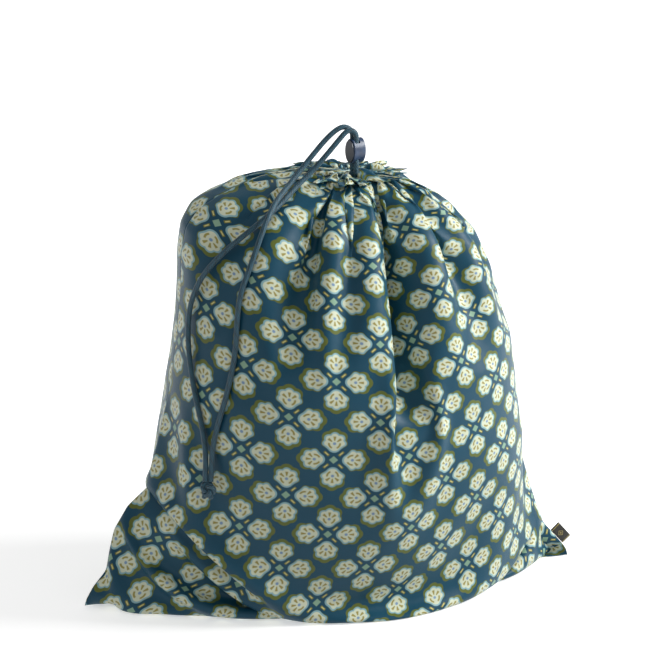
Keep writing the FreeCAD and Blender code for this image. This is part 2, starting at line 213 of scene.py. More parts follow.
def settle(cloth, weight, target):
    """Lets the cloth fall and rest. Weight is how firmly each point is held at its target."""
    cloth = cloth.astype(np.float32)
    speed = np.zeros_like(cloth)
    for _ in range(STEPS):
        before = cloth.copy()
        speed *= DRAG
        speed[..., 2] -= GRAVITY * TIME_STEP
        cloth = cloth + speed * TIME_STEP
        for _ in range(2):
            pull_threads(cloth)
        push_out(cloth, before)
        sewn = (cloth[STITCH_ROW] - cloth[-1]) * HEM_EDGE_PULL
        cloth[-1] += sewn
        cloth[STITCH_ROW] -= sewn * HEM_SEAM_PULL
        cloth += (target - cloth) * weight
        speed = (cloth - before) / TIME_STEP
        fast = np.sqrt((speed * speed).sum(-1, keepdims=True))
        speed *= np.minimum(1, TOP_SPEED / np.maximum(fast, 1e-6))
    return cloth


def smooth_line(points):
    """A Catmull-Rom line through the points, finely divided, and the distance along it."""
    p = np.array(points, float)
    q = np.vstack([2 * p[0] - p[1], p, 2 * p[-1] - p[-2]])
    t = np.linspace(0, 1, 40, endpoint=False)[:, None]
    line = []
    for a, b, c, d in zip(q, q[1:], q[2:], q[3:]):
        curve = 2 * b + (c - a) * t + (2 * a - 5 * b + 4 * c - d) * t**2
        line.append(0.5 * (curve + (3 * b - a - 3 * c + d) * t**3))
    line = np.vstack(line + [p[-1:]])
    return line, np.append(0, np.cumsum(np.linalg.norm(np.diff(line, axis=0), axis=1)))


def outline_at(points, share):
    line, along = smooth_line(points)
    return [np.interp(share * along[-1], along, line[:, k]) for k in (0, 1)]


def round_length(x, y):
    return np.hypot(np.diff(x, append=x[0]), np.diff(y, append=y[0])).sum()


def pleated_row(height):
    """One level of the cloth before it settles, pleated until it is as long as both panels."""
    angle = np.linspace(0, 2 * pi, 2880, endpoint=False)
    uneven = 1.5 * np.sin(3 * angle + 1.0) + 1.1 * np.sin(5 * angle + 2.2)
    pleats = 1 + np.cos(PLEATS * angle + uneven + .8 * np.sin(2 * angle + 4.))
    share = min(height, CORD_V) / CORD_V
    depth, z_front = outline_at(FRONT_OUTLINE, share)
    left, z_left = outline_at(LEFT_OUTLINE, share)
    right, z_right = outline_at(RIGHT_OUTLINE, share)
    side, lift, outward = 1, 0.0, CORD_ROOM * float(smooth(STITCH_V - 30, CORD_V, height))
    if height > CORD_V:
        lift = height - CORD_V if height <= PANEL_HEIGHT else 2 * PANEL_HEIGHT - height - CORD_V
        side = 1 if height <= PANEL_HEIGHT else -1
        outward = CORD_ROOM * cos(pi * min((height - CORD_V) / HEM, 1))
        left = right = depth = RING_RADIUS
    left, right, depth = (max(size + outward, 1.0) for size in (left, right, depth))
    wide = np.where(np.cos(angle) < 0, left, right)
    skew = 1 - SKEW * np.cos(angle) * (1 - float(smooth(.02, .22, share)))
    x, y = wide * np.cos(angle), depth * np.sin(angle) * skew
    normal = np.stack([np.cos(angle) / wide, np.sin(angle) / depth])
    normal /= np.hypot(*normal)
    folds = fold_depth(angle, z_front) * (1 - float(smooth(CORD_V - 40, CORD_V, height)))
    x, y = x / (1 + folds), y / (1 + folds)
    low, high = 0.0, 60.0
    for _ in range(24):
        middle = (low + high) / 2
        swell = normal * middle * pleats * side
        if round_length(x + swell[0], y + swell[1]) < 2 * PANEL_WIDTH:
            low = middle
        else:
            high = middle
    if height <= 5:
        low = 0.0
    x, y = x + normal[0] * low * pleats * side, y + normal[1] * low * pleats * side
    along = np.append(0, np.cumsum(np.hypot(np.diff(x, append=x[0]), np.diff(y, append=y[0]))))
    half_way = np.interp(pi, np.append(angle, 2 * pi), along)
    column = np.arange(COLUMNS)
    at = np.where(column < HALF, column / HALF * half_way,
                  half_way + (column - HALF) / HALF * (along[-1] - half_way))
    x, y, angle = (np.interp(at, along, np.append(q, last))
                   for q, last in ((x, x[0]), (y, y[0]), (angle, 2 * pi)))
    z_side = np.where(np.cos(angle) < 0, z_left, z_right)
    z = z_front + (z_side - z_front) * np.cos(angle) ** 2 + lift
    top = float(smooth(.55, 1.0, share))
    return np.stack([x + RING_X * top, y + RING_Y * top, z], 1)


def held_places(start):
    """Where the cloth is held: on the drawcord, along the bottom seam and up both corners."""
    weight = np.zeros((ROWS + 1, COLUMNS, 1), np.float32)
    target = start.astype(np.float32)
    weight[list(CORD_ROWS)] = 1.0
    across = np.arange(COLUMNS) / HALF * PANEL_WIDTH
    x = np.where(across <= PANEL_WIDTH, PANEL_WIDTH / 2 - across, across - 1.5 * PANEL_WIDTH) * .985
    target[0] = np.stack([x, 3 - x * .035 + 4 * np.sin(x / 60), np.ones(COLUMNS)], 1)
    weight[0] = 1.0
    for column, seam in ((HALF, LEFT_SEAM), (0, RIGHT_SEAM)):
        seam = np.array(seam, float)
        along = np.append(0, np.cumsum(np.hypot(*np.diff(seam, axis=0).T)))
        rows = np.flatnonzero((HEIGHTS_UP > 0) & (HEIGHTS_UP < along[-1] * 1.05))
        up = HEIGHTS_UP[rows]
        weight[rows, column, 0] = 1 - smooth(along[-1] * .55, along[-1] * 1.05, up)
        target[rows, column, 0] = np.interp(up, along, seam[:, 0])
        target[rows, column, 1] = target[0, column, 1] * (1 - up / along[-1])
        target[rows, column, 2] = np.interp(up, along, seam[:, 1])
    return weight, target


def make_cloth():
    """Every grid point of the settled cloth in metres, as rows up from the bottom seam."""
    start = np.stack([pleated_row(height) for height in HEIGHTS_UP])
    weight, target = held_places(start)
    start[0] = target[0]
    cloth = settle(start, weight, target).astype(float)
    rows = np.arange(ROWS + 1)
    wider = 1 + HEM_SPREAD * smooth(STITCH_ROW - HEM_SPREAD_ROWS, STITCH_ROW, rows)[:, None, None]
    cloth[..., :2] = (cloth[..., :2] - (RING_X, RING_Y)) * wider + (RING_X, RING_Y)
    cloth[..., 0] += CLOTH_SHIFT_X
    return cloth * MM


# ---------------------------------------------------------------- routes, in metres

CORD_DIAMETER = 0.005
BACK_TAIL = [
    (.00838, -.01946, .4165), (.00838, -.01946, .4260), (.00836, -.01946, .4448),
    (.00838, -.01946, .4517), (.0032, -.0197, .4569), (-.0046, -.0202, .4570),
    (-.0165, -.0210, .4485), (-.0310, -.0225, .4335), (-.0460, -.0265, .4185),
    (-.0600, -.0355, .4075), (-.0740, -.0485, .3990), (-.0870, -.0630, .3865),
    (-.0975, -.0705, .3665), (-.1070, -.0745, .3450), (-.1165, -.0755, .3220),
    (-.1205, -.0775, .2980), (-.1225, -.0805, .2730), (-.1275, -.0815, .2480),
    (-.1335, -.0805, .2240), (-.1405, -.0785, .2000), (-.1450, -.0775, .1780),
    (-.1465, -.0790, .1620), (-.1478, -.0805, .1485),
]
FRONT_TAIL = [
    (.01022, -.02454, .4165), (.01022, -.02454, .4260), (.01024, -.02454, .4440),
    (.01022, -.02454, .4508), (.0062, -.0247, .4546), (.0006, -.0250, .4542),
    (-.0076, -.0254, .4455), (-.0205, -.0260, .4315), (-.0350, -.0275, .4175),
    (-.0520, -.0340, .4060), (-.0700, -.0468, .3945), (-.0880, -.0552, .3840),
    (-.1060, -.0582, .3723), (-.1235, -.0530, .3575), (-.1385, -.0460, .3400),
    (-.1480, -.0385, .3210), (-.1525, -.0325, .3010), (-.1550, -.0340, .2810),
    (-.1560, -.0400, .2600), (-.1555, -.0480, .2390), (-.1540, -.0575, .2180),
    (-.1515, -.0665, .1980), (-.1505, -.0730, .1785), (-.1513, -.0770, .1620),
    (-.1528, -.0790, .1485),
]
# The drawcord inside the casing, from one tail round the mouth to the other.
CORD_LOOP = [
    (.00838, -.01946, .4165), (.00838, -.01946, .4105), (.0007, -.0204, .4105),
    (-.0106, -.0114, .4105), (-.0147, .0028, .4105), (-.0096, .0168, .4105),
    (.0019, .0248, .4105), (.0167, .0248, .4105), (.0282, .0168, .4105),
    (.0333, .0028, .4105), (.0292, -.0114, .4105), (.0179, -.0204, .4105),
    (.01022, -.02454, .4105), (.01022, -.02454, .4165),
]


# ---------------------------------------------------------------- mesh helpers


def add_uvs(mesh, name, uvs):
    layer = mesh.uv_layers.new(name=name)
    layer.data.foreach_set("uv", np.array(uvs, dtype=np.float32).ravel())


def mesh_object(name, vertices, faces, uvs=None):
    """UVs are one pair to each face corner."""
    mesh = bpy.data.meshes.new(name)
    mesh.from_pydata([tuple(v) for v in vertices], [], faces)
    if uvs is not None:
        add_uvs(mesh, "flat", uvs)
    mesh.polygons.foreach_set("use_smooth", [True] * len(mesh.polygons))
    piece = bpy.data.objects.new(name, mesh)
    bpy.context.scene.collection.objects.link(piece)
    return piece


def finish_piece(piece, body, material, slot, *nodes):
    """Gives a piece its body and material, and hides the CAD nodes that it replaces. The slot is
    not used.
    """
    piece.data.materials.clear()
    piece.data.materials.append(material)
    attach(piece, body)
    if nodes:
        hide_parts(*nodes)


def nurbs_line(name, route):
    """The points of a smooth NURBS line with the route's points as its control points."""
    curve = bpy.data.curves.new(name, "CURVE")
    curve.dimensions = "3D"
    curve.resolution_u = 12
    spline = curve.splines.new("NURBS")
    spline.points.add(len(route) - 1)
    for point, place in zip(spline.points, route):
        point.co = (*place, 1.0)
    spline.order_u = 3
    spline.use_endpoint_u = True
    holder = bpy.data.objects.new(name, curve)
    bpy.context.scene.collection.objects.link(holder)
    bpy.context.view_layer.update()
    mesh = bpy.data.meshes.new_from_object(holder)
    line = [v.co.copy() for v in mesh.vertices]
    bpy.data.objects.remove(holder)
    bpy.data.curves.remove(curve)
    bpy.data.meshes.remove(mesh)
    return line


def even_points(line, step, closed=False):
    """Points a level distance apart along a line, and how far along each one is."""
    points = np.array([tuple(p) for p in line])
    if closed:
        points = np.vstack([points, points[:1]])
    along = np.append(0, np.cumsum(np.linalg.norm(np.diff(points, axis=0), axis=1)))
    count = max(2, int(round(along[-1] / step)))
    at = np.linspace(0, along[-1], count + 1)
    return np.stack([np.interp(at, along, points[:, k]) for k in range(3)], 1), at


def tube(name, line, radius, sides=20, step=.0009, round_ends=True):
    """A round tube along a line, with UVs in metres: round it, and along it."""
    points, at = even_points(line, step)
    ahead = np.gradient(points, axis=0)
    ahead /= np.linalg.norm(ahead, axis=1)[:, None]
    across = np.zeros_like(points)
    across[0] = Vector(ahead[0]).orthogonal().normalized()
    for k in range(1, len(points)):
        side = across[k - 1] - ahead[k] * np.dot(across[k - 1], ahead[k])
        across[k] = side / np.linalg.norm(side)
    other = np.cross(ahead, across)
    sizes = np.full(len(points), radius)
    if round_ends:
        for inset in range(3):
            share = sqrt(1 - (1 - (inset + .25) / 3) ** 2)
            sizes[inset] *= share
            sizes[-1 - inset] *= share
    turn = np.linspace(0, 2 * pi, sides, endpoint=False)
    vertices, faces, uvs = [], [], []
    for k, point in enumerate(points):
        for angle in turn:
            vertices.append(point + (across[k] * cos(angle) + other[k] * sin(angle)) * sizes[k])
    for k in range(len(points) - 1):
        for i in range(sides):
            j = (i + 1) % sides
            faces.append((k * sides + i, k * sides + j, (k + 1) * sides + j, (k + 1) * sides + i))
            low, high = i / sides * 2 * pi * radius, (i + 1) / sides * 2 * pi * radius
            uvs += [(low, at[k]), (high, at[k]), (high, at[k + 1]), (low, at[k + 1])]
    last = (len(points) - 1) * sides
    faces += [tuple(range(sides))[::-1], tuple(last + i for i in range(sides))]
    uvs += [(0, 0)] * (2 * sides)
    return mesh_object(name, vertices, faces, uvs), points


# ---------------------------------------------------------------- materials


class Number:
    """A value that varies over a surface: the output of a shader node, with arithmetic."""

    def __init__(self, tree, socket):
        self.tree, self.socket = tree, socket

    def node(self, operation, *others):
        made = self.tree.nodes.new("ShaderNodeMath")
        made.operation = operation
        for slot, value in zip(made.inputs, (self, *others)):
            if isinstance(value, Number):
                self.tree.links.new(value.socket, slot)
            else:
                slot.default_value = value
        return Number(self.tree, made.outputs[0])

    def __add__(self, other):
        return self.node("ADD", other)

    def __sub__(self, other):
        return self.node("SUBTRACT", other)

    def __mul__(self, other):
        return self.node("MULTIPLY", other)

    def __truediv__(self, other):
        return self.node("DIVIDE", other)

    __radd__, __rmul__ = __add__, __mul__

    def __rsub__(self, other):
        return (self * -1.0) + other

    def __abs__(self):
        return self.node("ABSOLUTE")

    def sin(self):
        return self.node("SINE")

    def cos(self):
        return self.node("COSINE")

    def least(self, other):
        return self.node("MINIMUM", other)

    def most(self, other):
        return self.node("MAXIMUM", other)

    def angle(self, other):
        return self.node("ARCTAN2", other)

    def length(self, other):
        return (self * self + other * other).node("SQRT")

    def below(self, edge, softness):
        """1 where this is under the edge, 0 where over, blended across the softness."""
        ramp = self.tree.nodes.new("ShaderNodeMapRange")
        ramp.interpolation_type = "SMOOTHSTEP"
        self.tree.links.new(self.socket, ramp.inputs["Value"])
        for name, value in (("From Min", edge - softness), ("From Max", edge + softness),
                            ("To Min", 1.0), ("To Max", 0.0)):
            ramp.inputs[name].default_value = value
        return Number(self.tree, ramp.outputs[0])

    def wrap(self, size, offset=0.0):
        """Folds into the range from minus to plus half the size."""
        return (self + offset).node("WRAP", size / 2, -size / 2)

    def pick(self, if_zero, if_one):
        return if_zero + (if_one - if_zero) * self


class Material:
    """A node material, with helpers for the patterns used here."""

    def __init__(self, name, roughness, sheen=0.0, specular=0.5):
        self.made = bpy.data.materials.new(name)
        self.made.use_nodes = True
        self.tree = self.made.node_tree
        self.shader = self.tree.nodes["Principled BSDF"]
        self.shader.inputs["Roughness"].default_value = roughness
        self.shader.inputs["Sheen Weight"].default_value = sheen
        self.shader.inputs["Sheen Roughness"].default_value = 0.4
        self.shader.inputs["Specular IOR Level"].default_value = specular

    def node(self, kind, **settings):
        made = self.tree.nodes.new(kind)
        for name, value in settings.items():
            setattr(made, name, value)
        return made

    def link(self, value, socket):
        self.tree.links.new(value.socket if isinstance(value, Number) else value, socket)

    def flat_place(self, layer="flat"):
        """The two UV coordinates, in metres on the flat cloth."""
        uv = self.node("ShaderNodeUVMap", uv_map=layer)
        split = self.node("ShaderNodeSeparateXYZ")
        self.link(uv.outputs[0], split.inputs[0])
        return Number(self.tree, split.outputs[0]), Number(self.tree, split.outputs[1])

    def noise(self, scale, detail=2.0, flat=True):
        texture = self.node("ShaderNodeTexNoise")
        texture.inputs["Scale"].default_value = scale
        texture.inputs["Detail"].default_value = detail
        if flat:
            uv = self.node("ShaderNodeUVMap", uv_map="flat")
            self.link(uv.outputs[0], texture.inputs["Vector"])
        else:
            place = self.node("ShaderNodeTexCoord")
            self.link(place.outputs["Object"], texture.inputs["Vector"])
        return Number(self.tree, texture.outputs["Fac"])

    def mix(self, share, under, over):
        """The colour over, where share is 1, on the colour under."""
        made = self.node("ShaderNodeMix", data_type="RGBA")
        for index, value in ((0, share), (6, under), (7, over)):
            if isinstance(value, tuple):
                made.inputs[index].default_value = (*value, 1.0)
            elif isinstance(value, (int, float)):
                made.inputs[index].default_value = value
            else:
                self.link(value, made.inputs[index])
        return made.outputs[2]

    def shade(self, colour, amount):
        """The colour made lighter or darker where amount is over or under 1."""
        made = self.node("ShaderNodeVectorMath", operation="SCALE")
        self.link(colour, made.inputs[0])
        self.link(amount, made.inputs["Scale"])
        return made.outputs[0]

    def bump(self, height, distance, strength=1.0):
        made = self.node("ShaderNodeBump")
        made.inputs["Distance"].default_value = distance
        made.inputs["Strength"].default_value = strength
        self.link(height, made.inputs["Height"])
        self.link(made.outputs[0], self.shader.inputs["Normal"])

    def done(self, colour):
        self.link(colour, self.shader.inputs["Base Color"])
        return self.made


def srgb(red, green, blue):
    """A colour from its usual 0 to 255 values, as the linear values that shaders take."""
    values = (c / 255 for c in (red, green, blue))
    return tuple(c / 12.92 if c <= .04045 else ((c + .055) / 1.055) ** 2.4 for c in values)


PRINT_PITCH = 82.0                      # between groups of four petals, in millimetres
PETAL_OUT = 18.3                        # from a group's middle to the middle of each petal
PRINT_ACROSS, PRINT_UP = 250, 290       # half of the panel that PRINT_LAY's u and v run over
# How the print lies on each panel, in half pitches across and up: a constant, then the shares of
# u, v, u squared, u times v and v squared, with u and v from -1 to 1 over the panel.
PRINT_LAY = {
    "front": ((1.230, 6.147, .348, .443, -.889, .546), (-4.427, -.424, 8.177, .473, .821, .760)),
    "back": ((1.3, 6.2, .4, 0, 0, 0), (-4.3, -.5, 8.0, 0, 0, 0)),
}


def printed_cloth():
    """Scalloped petals in fours round small diamonds, on a square lattice and again halfway."""
    cloth = Material("printed_polyester", .42, sheen=.13, specular=.24)
    cloth.shader.inputs["Sheen Tint"].default_value = (.42, .80, 1.0, 1.0)
    u, v = cloth.flat_place("print")
    u, v = u * 1000.0, v * 1000.0
    outs, sides, gaps = [], [], []
    for offset in (0.0, PRINT_PITCH / 2):
        x, y = abs(u.wrap(PRINT_PITCH, offset)), abs(v.wrap(PRINT_PITCH, offset))
        outs.append(x.most(y))
        sides.append(x.least(y))
        gaps.append((outs[-1] - PETAL_OUT).length(sides[-1]))
    second = gaps[1].node("LESS_THAN", gaps[0])
    out, side = second.pick(*outs), second.pick(*sides)
    ahead = out - PETAL_OUT
    radius, turn = ahead.length(side), side.angle(ahead)
    crown = turn.below(2.0, .25)
    scallops = abs((turn * 3.6).cos()) * crown
    waist = (turn - 2.35) / .42
    pinch = (waist * waist * -1.0).node("EXPONENT")
    edge = scallops * 1.7 - crown + 10.6 - pinch * 1.6
    border = edge + turn.cos().most(0.0) * 3.0 + turn.below(2.2, .4) * .9
    in_border = (radius - border).below(0, .25)
    in_petal = (radius - edge).below(0, .25)
    in_cream = (radius - edge).below(-1.7, .35)
    heart = ahead + 1.0
    reach, spread = heart.length(side), side.angle(heart)
    drops = (abs(spread.wrap(.85)) * reach - reach * .2).below(-.1, .3) * reach.below(7.6, .4)
    drops = drops * (1.0 - reach.below(3.0, .4)) * spread.below(1.2, .04)
    strokes = abs(reach - 5.0).below(.9, .3) * spread.below(2.7, .12)
    strokes = strokes * (1.0 - spread.below(1.45, .12))
    diamond = (out + side).below(4.1, .4)
    along, off = (out + side) * .7071, (out - side) * .7071
    dash = abs(along - 9.4).below(3.1, .3) * off.below(1.25, .25)
    dash_heart = abs(along - 9.4).below(2.1, .4) * off.below(.55, .25)
    colour = cloth.mix(in_border, srgb(15, 70, 92), srgb(98, 108, 46))
    colour = cloth.mix(in_petal, colour, srgb(140, 182, 190))
    colour = cloth.mix(in_cream, colour, srgb(216, 222, 196))
    colour = cloth.mix((drops + strokes).least(1.0), colour, srgb(160, 150, 80))
    colour = cloth.mix(reach.below(1.5, .4), colour, srgb(130, 160, 190))
    colour = cloth.mix(diamond, colour, srgb(140, 175, 150))
    colour = cloth.mix(dash, colour, srgb(120, 120, 50))
    colour = cloth.mix(dash_heart, colour, srgb(215, 205, 140))
    warp, weft = cloth.flat_place()
    uneven = cloth.noise(35.0, 3.0) * .16 + .92
    threads = (warp * 12600.0).sin() * (weft * 12600.0).sin()
    # Random tone over the cloth, with faint painted shade in the dips between the woven threads.
    colour = cloth.shade(colour, uneven + threads * .02)
    creases = cloth.noise(45.0, 4.0)
    cloth.bump(creases + threads * .03, .0012, .35)
    return cloth.done(colour)


def braided_cord():
    """Two sets of strands that cross round the cord, one of them flecked dark, with painted shade
    in the grooves between the strands.
    """
    cord = Material("braided_cord", .5, sheen=.3)
    round_it, along = cord.flat_place()
    first = (round_it / .00196 + along / .0030) * pi
    second = (round_it / .00196 - along / .0030) * pi
    first_ridge, second_ridge = abs(first.sin()), abs(second.sin())
    over = (first_ridge - second_ridge).below(0, .2)
    fleck = ((round_it / .00785 + along / .012) * 2 * pi).sin().below(-.35, .25)
    colour = cord.mix(over, srgb(30, 86, 104), srgb(16, 54, 72))
    colour = cord.mix(fleck * over, colour, srgb(9, 20, 30))
    ridges = first_ridge.most(second_ridge)
    # Painted shade: the colour is darkened to half in the grooves between the strands and kept on
    # their crowns, with random tone on top.
    colour = cord.shade(colour, ridges * .55 + .5 + cord.noise(900.0) * .15)
    cord.bump(ridges + cord.noise(2600.0) * .2, .0004, .8)
    return cord.done(colour)


def sewing_thread():
    """Two plies twisted together, with painted shade in the grooves between them."""
    thread = Material("sewing_thread", .5, sheen=.2)
    round_it, along = thread.flat_place()
    twist = abs(((round_it / .0011 + along / .0012) * pi).sin())
    thread.bump(twist, .00015, .8)
    # Painted shade: the darker blue lies in the grooves between the plies, the lighter on their
    # crowns, with random tone on top.
    return thread.done(thread.shade(thread.mix(twist, srgb(14, 42, 66), srgb(34, 84, 118)),
                                    thread.noise(500.0) * .3 + .8))


def moulded_plastic(name, colour, rubbed, roughness):
    """Spark-finished nylon, a little paler where hands rub it."""
    plastic = Material(name, roughness)
    grain = plastic.noise(2500.0, 2.0, flat=False)
    wear = plastic.noise(130.0, 3.0, flat=False)
    plastic.link(wear * .16 + (roughness - .08), plastic.shader.inputs["Roughness"])
    plastic.bump(grain, .00006, .5)
    mixed = plastic.mix(wear.below(.42, .2), rubbed, colour)
    return plastic.done(mixed)


def spring_steel():
    steel = Material("spring_steel", .3)
    steel.shader.inputs["Metallic"].default_value = 1.0
    drawn = steel.noise(3000.0, 2.0, flat=False)
    steel.bump(drawn, .00003, .4)
    return steel.done(steel.mix(drawn, srgb(150, 150, 154), srgb(196, 196, 200)))


LABEL_LENGTH, LABEL_WIDTH, LABEL_THICKNESS = .020, .011, .0011


def woven_label():
    """Dark taffeta with a golden edge line and a small diamond, woven in, with painted shade in the
    grooves between its ribs and threads.
    """
    label = Material("woven_label", .55, sheen=.2)
    outward, up = label.flat_place()
    ribs = abs((up / .00045 * pi).sin())
    threads = abs((outward / .00035 * pi).sin())
    across, along = outward - LABEL_WIDTH * .5, up - LABEL_LENGTH * .5
    lines = abs(abs(along) - LABEL_LENGTH * .44).below(.00035, .0001)
    ring = abs(abs(across) + abs(along) - .0029).below(.00038, .00012)
    heart = (abs(across) + abs(along)).below(.0011, .00012)
    gold = (lines + ring + heart).least(1.0)
    colour = label.mix(gold, srgb(38, 36, 27), srgb(176, 158, 88))
    label.bump(ribs + threads * .5, .00012, .7)
    # Painted shade: the colour is darkened in the grooves between the ribs and the threads.
    return label.done(label.shade(colour, ribs * .25 + threads * .15 + .7))


# ---------------------------------------------------------------- cloth pieces


def cloth_normals(cloth):
    across = np.roll(cloth, -1, 1) - np.roll(cloth, 1, 1)
    up = np.gradient(cloth, axis=0)
    normal = np.cross(across, up)
    return normal / np.maximum(np.linalg.norm(normal, axis=2, keepdims=True), 1e-12)


def dent_under(cloth, line, reach):
    """Presses the cloth back from a cord that lies on it, in a shallow channel."""
    points, _ = even_points(line, .002)
    ahead = np.gradient(points, axis=0)
    ahead /= np.linalg.norm(ahead, axis=1)[:, None]
    flat = cloth.reshape(-1, 3)
    normals = cloth_normals(cloth).reshape(-1, 3)
    outer = np.zeros(cloth.shape[:2], bool)
    outer[:TOP_ROW] = True
    outer = outer.ravel()
    facing = []
    for point in points:
        close = outer & (np.linalg.norm(flat - point, axis=1) < .016)
        facing.append(normals[close].sum(0) if close.any() else np.zeros(3))
    facing = np.array(facing)
    kernel = np.ones(9) / 9
    facing = np.stack([np.convolve(facing[:, k], kernel, "same") for k in range(3)], 1)
    for point, along, out in zip(points, ahead, facing):
        if np.linalg.norm(out) < .5:
            continue
        out = out - along * np.dot(out, along)
        out /= np.linalg.norm(out)
        gap = flat - point
        near = outer & (np.abs(gap @ along) < .0022) & (np.linalg.norm(gap, axis=1) < .014)
        side = np.abs(gap[near] @ np.cross(along, out))
        allowed = -reach * (1 - (side / (2.0 * reach)) ** 2)
        above = np.maximum(gap[near] @ out - allowed, 0)
        above[side > 2.0 * reach] = 0
        flat[near] -= above[:, None] * out


def clear_round(cloth, x, y, radius, low, high):
    """Moves the cloth out of an upright cylinder."""
    flat = cloth.reshape(-1, 3)
    gap = flat[:, :2] - (x, y)
    distance = np.linalg.norm(gap, axis=1)
    inside = (distance < radius) & (flat[:, 2] > low) & (flat[:, 2] < high)
    flat[inside, :2] += gap[inside] * (radius / np.maximum(distance[inside], 1e-6) - 1)[:, None]


CLOTH_THICKNESS = .00035
BACK_COLUMNS = range(0, HALF + 1)
FRONT_COLUMNS = range(HALF, COLUMNS + 1)


def printed_place(side, uvs):
    """Where each point of a flat panel falls on the print, in metres."""
    u, v = np.array(uvs).T / MM
    u, v = u / PRINT_ACROSS - 1, v / PRINT_UP - 1
    terms = np.stack([np.ones_like(u), u, v, u * u, u * v, v * v])
    return np.stack([np.array(row) @ terms for row in PRINT_LAY[side]], 1) * PRINT_PITCH / 2 * MM


def cloth_piece(name, cloth, side, rows):
    """Part of the cloth as a mesh of its own, with the flat cut as its UVs in metres."""
    columns = FRONT_COLUMNS if side == "front" else BACK_COLUMNS
    wide = len(columns)
    vertices = [cloth[row, column % COLUMNS] for row in rows for column in columns]
    faces, uvs = [], []
    for j, row in enumerate(rows[:-1]):
        for i in range(wide - 1):
            corner = j * wide + i
            faces.append((corner, corner + 1, corner + wide + 1, corner + wide))
            left, low = i * COLUMN_STEP * MM, HEIGHTS_UP[row] * MM
            right, high = left + COLUMN_STEP * MM, HEIGHTS_UP[row + 1] * MM
            uvs += [(left, low), (right, low), (right, high), (left, high)]
    piece = mesh_object(name, vertices, faces, uvs)
    add_uvs(piece.data, "print", printed_place(side, uvs))
    rounder = piece.modifiers.new("rounder", "SUBSURF")
    rounder.levels = rounder.render_levels = 1
    rounder.boundary_smooth = "PRESERVE_CORNERS"
    cover = piece.modifiers.new("cloth_thickness", "SOLIDIFY")
    cover.thickness, cover.offset = CLOTH_THICKNESS, -1.0
    return piece


def make_panels(cloth, material):
    """Both panels, and the casing that is folded over at the mouth and sewn down inside."""
    low_rows, top_rows = range(0, STITCH_ROW + 1), range(STITCH_ROW, ROWS + 1)
    for side in ("front", "back"):
        panel = cloth_piece(f"{side}_panel_cloth", cloth, side, low_rows)
        finish_piece(panel, "bag", material, "cloth", f"{side}_panel")
        casing = cloth_piece(f"{side}_casing_cloth", cloth, side, top_rows)
        finish_piece(casing, "bag", material, "cloth", f"{side}_casing")


def ribbon(name, edge, inward, width, thickness, columns=3):
    """A narrow strip of doubled cloth that stands in from a seam."""
    vertices, faces, uvs = [], [], []
    along = np.append(0, np.cumsum(np.linalg.norm(np.diff(edge, axis=0), axis=1)))
    for point, direction in zip(edge, inward):
        for k in range(columns + 1):
            vertices.append(point + direction * (.0012 + width * k / columns))
    for j in range(len(edge) - 1):
        for k in range(columns):
            corner = j * (columns + 1) + k
            faces.append((corner, corner + 1, corner + columns + 2, corner + columns + 1))
            low, high = k / columns * width, (k + 1) / columns * width
            uvs += [(low, along[j]), (high, along[j]), (high, along[j + 1]), (low, along[j + 1])]
    strip = mesh_object(name, vertices, faces, uvs)
    add_uvs(strip.data, "print", uvs)
    cover = strip.modifiers.new("doubled", "SOLIDIFY")
    cover.thickness, cover.offset = thickness, 0.0
    return strip


SEAM_WIDTH, SEAM_THICKNESS = .008, .0008


def make_seams(cloth, material):
    """The overlocked allowances inside the two side seams and along the bottom."""
    first_row = row_at(14.0)
    for name, column in (("left_seam", HALF), ("right_seam", 0)):
        edge = cloth[first_row:STITCH_ROW, column]
        beside = sum(cloth[first_row:STITCH_ROW, (column + k) % COLUMNS] for k in (-5, 5)) / 2
        inward = beside - edge
        inward /= np.maximum(np.linalg.norm(inward, axis=1), 1e-9)[:, None]
        strip = ribbon(f"{name}_allowance", edge, inward, SEAM_WIDTH, SEAM_THICKNESS)
        finish_piece(strip, "bag", material, "cloth", name)
    edge = cloth[0, HALF // 20:HALF - HALF // 20]
    inward = np.tile((0.0, 0.0, 1.0), (len(edge), 1))
    strip = ribbon("bottom_seam_allowance", edge, inward, SEAM_WIDTH, SEAM_THICKNESS)
    finish_piece(strip, "bag", material, "cloth", "bottom_seam")


STITCH_LENGTH, STITCH_GAP, THREAD_RADIUS = .0030, .0012, .00022


def make_stitches(cloth, material):
    """The row of lockstitch that closes the casing, one short raised stitch after another."""
    normals = cloth_normals(cloth)[STITCH_ROW]
    line = cloth[STITCH_ROW] + normals * .0002
    points, at = even_points(line, (STITCH_LENGTH + STITCH_GAP) / 4, closed=True)
    sides = 6
    vertices, faces, uvs = [], [], []
    for start in range(0, len(points) - 4, 4):
        stitch = points[start:start + 4]
        ahead = stitch[-1] - stitch[0]
        ahead /= np.linalg.norm(ahead)
        across = np.array(Vector(ahead).orthogonal().normalized())
        other = np.cross(ahead, across)
        base = len(vertices)
        for k, point in enumerate(stitch):
            size = THREAD_RADIUS * (.45, 1, 1, .45)[k]
            for angle in np.linspace(0, 2 * pi, sides, endpoint=False):
                vertices.append(point + (across * cos(angle) + other * sin(angle)) * size)
        for k in range(3):
            for i in range(sides):
                j = (i + 1) % sides
                a, b = base + k * sides, base + (k + 1) * sides
                faces.append((a + i, a + j, b + j, b + i))
                low, high = i / sides * .0014, (i + 1) / sides * .0014
                uvs += [(low, at[start + k]), (high, at[start + k]),
                        (high, at[start + k + 1]), (low, at[start + k + 1])]
        faces += [tuple(base + i for i in range(sides))[::-1],
                  tuple(base + 3 * sides + i for i in range(sides))]
        uvs += [(0, 0)] * (2 * sides)
    stitches = mesh_object("casing_stitches", vertices, faces, uvs)
    finish_piece(stitches, "bag", material, "thread", "casing_stitching")


# ---------------------------------------------------------------- cord, knot, label


